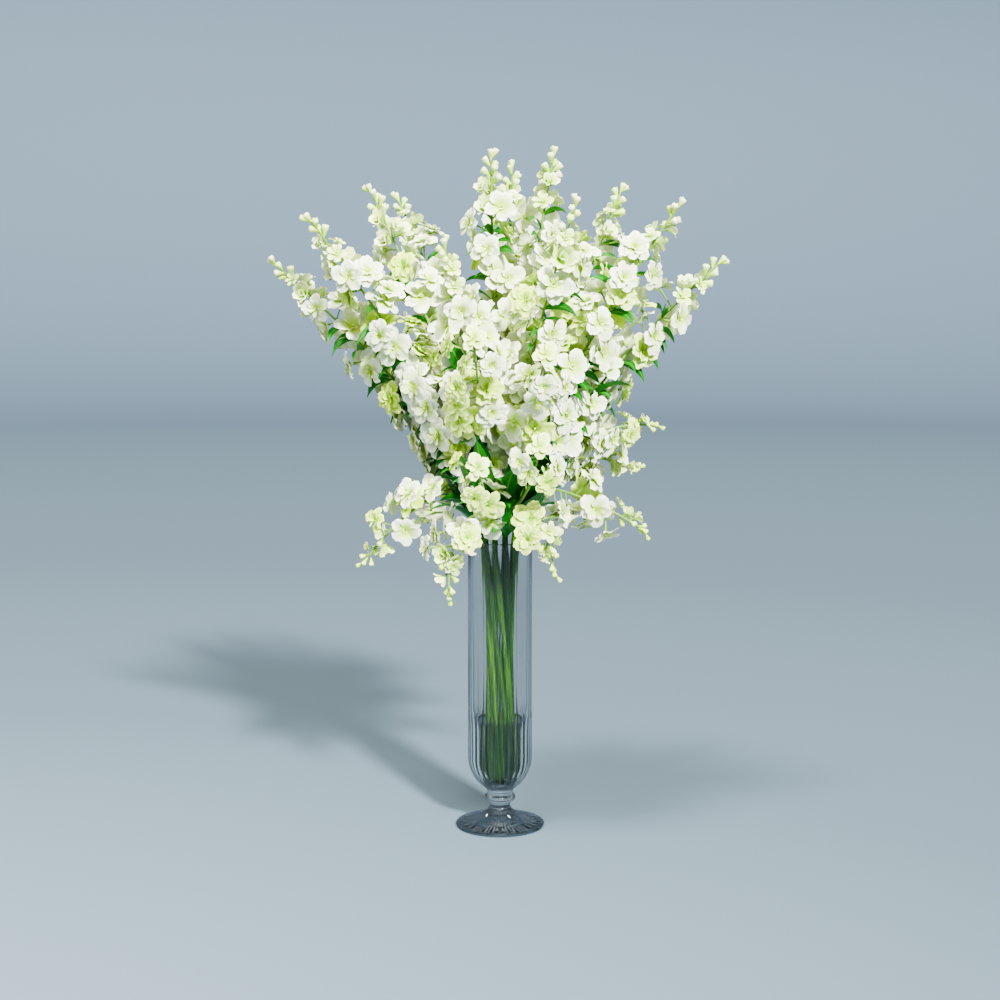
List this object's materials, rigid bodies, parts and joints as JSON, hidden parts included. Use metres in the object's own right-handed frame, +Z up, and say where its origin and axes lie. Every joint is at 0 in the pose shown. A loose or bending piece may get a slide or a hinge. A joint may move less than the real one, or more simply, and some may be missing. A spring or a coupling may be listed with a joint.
{
  "type": "delphiniums in a footed glass vase",
  "caption": "Loose bunch of white delphinium spikes with side shoots and leaves, fanned out of a tall footed glass cylinder vase with water.",
  "frame": {"origin": "middle of the flat underside of the vase's foot", "axes": "+Z up along the vase's axis; the bunch is widest along X; -Y is the front"},
  "size_m": [0.623, 0.4578, 0.936],
  "materials": {
    "glass": "clear pressed glass with soft optic flutes",
    "water": "clear still water",
    "stem_green": "fresh green stem and glossy leaf",
    "petal_white": "soft satin petal, white to pale yellow-green"
  },
  "bodies": {
    "root": {"vase": "glass", "water": "water", "stem_01": "stem_green", "stem_02": "stem_green", "stem_03": "stem_green", "stem_04": "stem_green", "stem_05": "stem_green", "stem_06": "stem_green", "stem_07": "stem_green", "stem_08": "stem_green", "stem_09": "stem_green", "stem_10": "stem_green", "stem_11": "stem_green", "stem_12": "stem_green", "spike_01": "petal_white", "spike_02": "petal_white", "spike_03": "petal_white", "spike_04": "petal_white", "spike_05": "petal_white", "spike_06": "petal_white", "spike_07": "petal_white", "spike_08": "petal_white", "spike_09": "petal_white", "spike_10": "petal_white", "spike_11": "petal_white", "spike_12": "petal_white", "side_shoot_01": "petal_white", "side_shoot_02": "petal_white", "side_shoot_03": "petal_white", "side_shoot_04": "petal_white", "side_shoot_05": "petal_white", "side_shoot_06": "petal_white", "side_shoot_07": "petal_white", "side_shoot_08": "petal_white", "side_shoot_09": "petal_white", "side_shoot_10": "petal_white", "side_shoot_11": "petal_white", "side_shoot_12": "petal_white", "side_shoot_13": "petal_white", "side_shoot_14": "petal_white", "side_shoot_15": "petal_white"}
  },
  "joints": []
}
